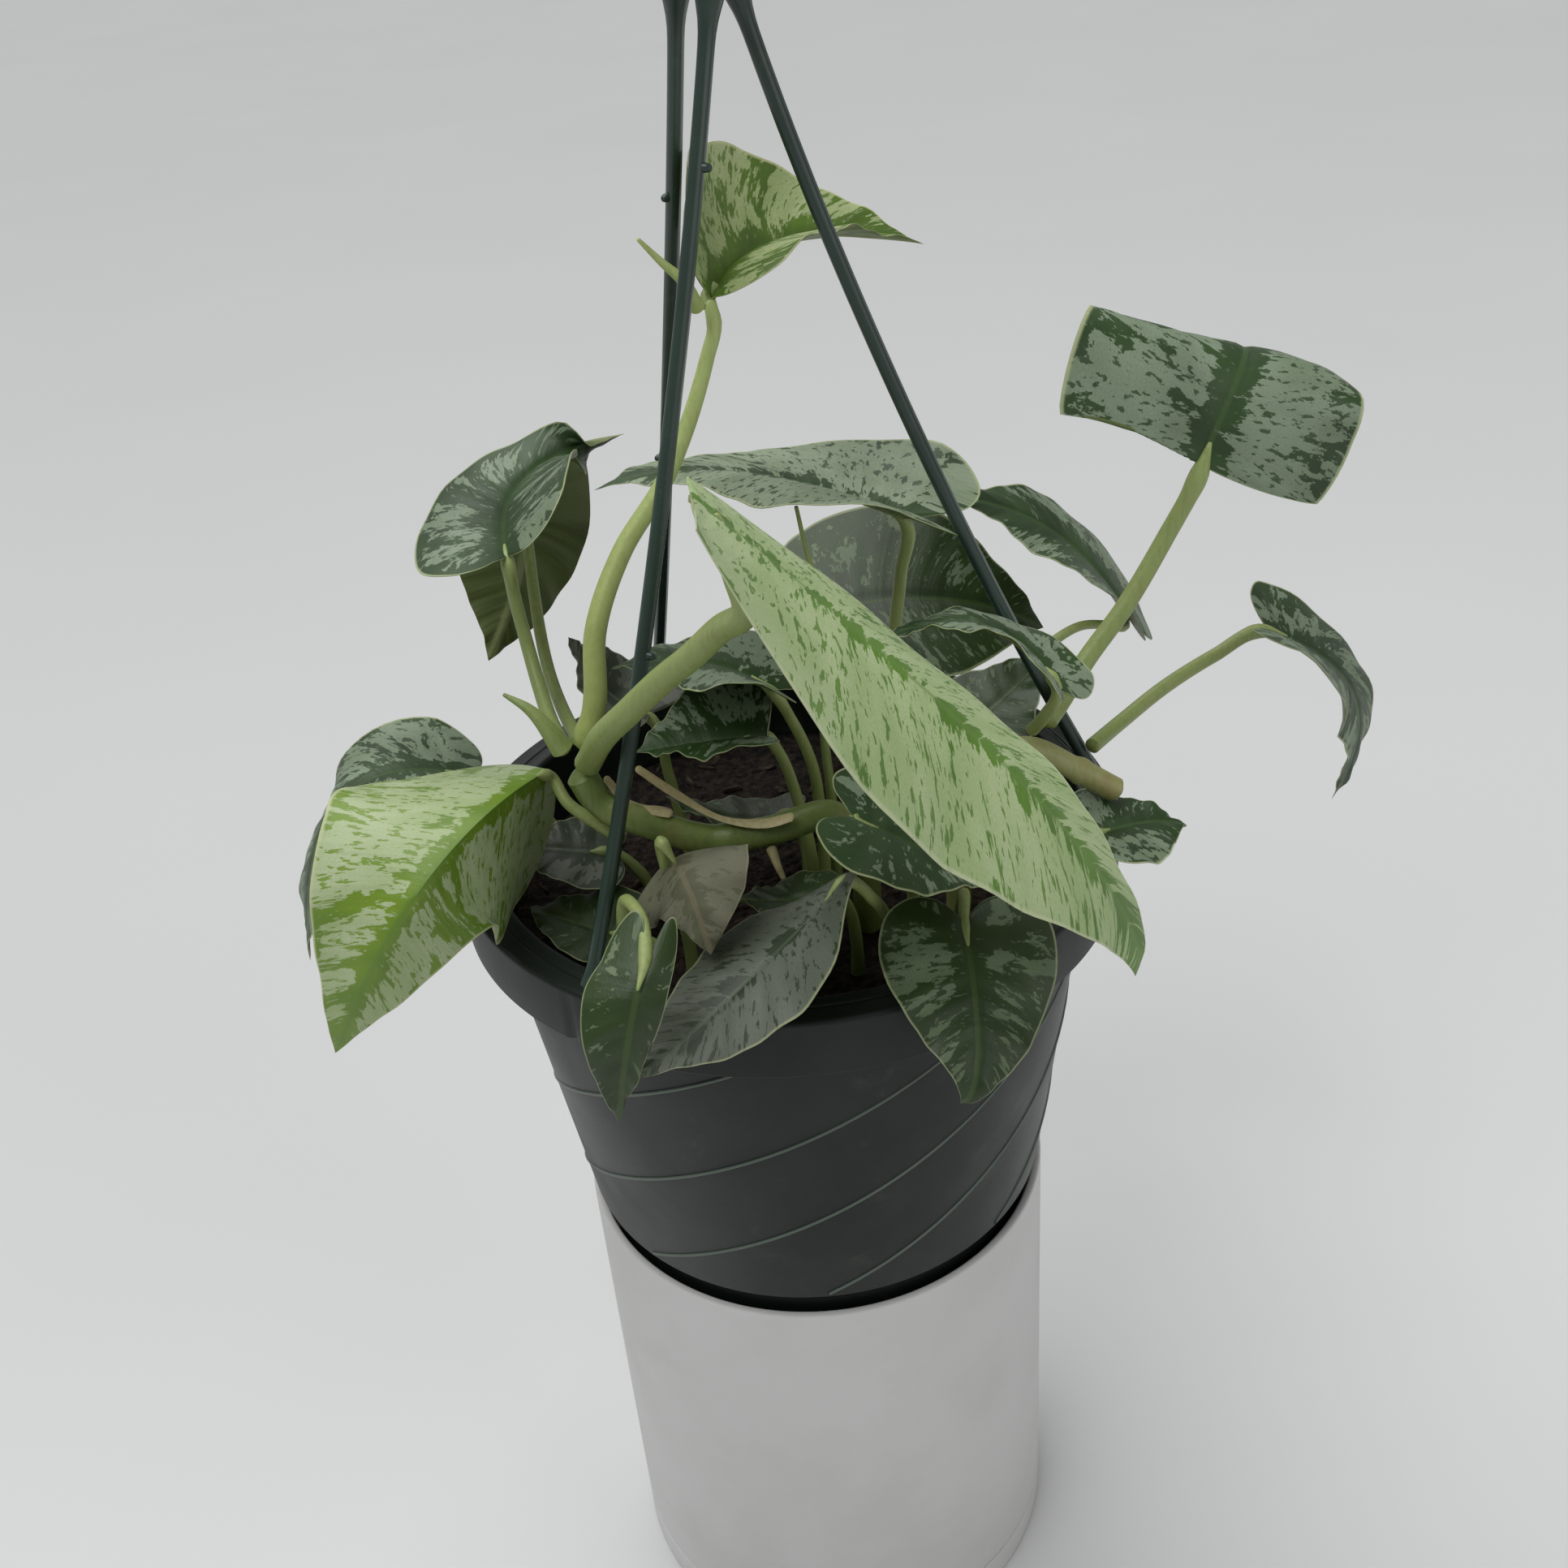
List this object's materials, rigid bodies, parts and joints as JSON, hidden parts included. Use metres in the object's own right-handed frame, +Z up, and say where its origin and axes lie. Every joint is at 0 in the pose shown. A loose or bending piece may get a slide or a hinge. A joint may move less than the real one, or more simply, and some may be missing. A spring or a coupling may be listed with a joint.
{
  "type": "potted pothos plant",
  "caption": "Satin pothos with silver-splashed leaves in a green hanging pot with a three-armed hanger, standing in a white cylindrical cover pot on a saucer.",
  "frame": {"origin": "centre of the saucer's underside, on the surface that the object stands on", "axes": "+Z up; -Y is the front, where the largest leaf leans; +X is to the viewer's right"},
  "size_m": [0.2698, 0.2097, 0.4665],
  "materials": {
    "white_pot": "matte off-white",
    "green_pot": "satin, very dark green-grey, scuffed",
    "hanger": "satin dark green",
    "soil": "loose dark potting mix",
    "stem": "satin light green stem",
    "leaf": "satin green with silver splashes",
    "withered_leaf": "dry grey-beige"
  },
  "bodies": {
    "root": {"Saucer": "white_pot", "Planter": "white_pot", "Pot": "green_pot", "Soil": "soil", "ArmFront": "hanger", "ArmRight": "hanger", "ArmBack": "hanger", "HangerHook": "hanger", "VineMain": "stem", "VineTall": "stem", "VineRight": "stem", "ShootTip": "stem", "Bud": "stem", "Spear": "stem", "RootNub": "stem", "LeafTop": "leaf", "LeafSaddle": "leaf", "LeafFarRight": "leaf", "LeafRightArch": "leaf", "LeafRidge": "leaf", "LeafRound": "leaf", "LeafArch": "leaf", "LeafFront": "leaf", "LeafUpperLeft": "leaf", "LeafHanging": "leaf", "LeafLeft": "leaf", "LeafBright": "leaf", "LeafRimHeart": "leaf", "LeafSilver": "leaf", "LeafWithered": "withered_leaf", "LeafRimDark": "leaf", "LeafSpeckled": "leaf", "LeafLowRight": "leaf", "LeafCentre": "leaf", "LeafGrey": "leaf", "LeafLying": "leaf", "LeafInnerLeft": "leaf", "LeafInnerGrey": "leaf", "LeafNarrow": "leaf", "LeafUnderVine": "leaf", "LeafDeep": "leaf"}
  },
  "joints": []
}
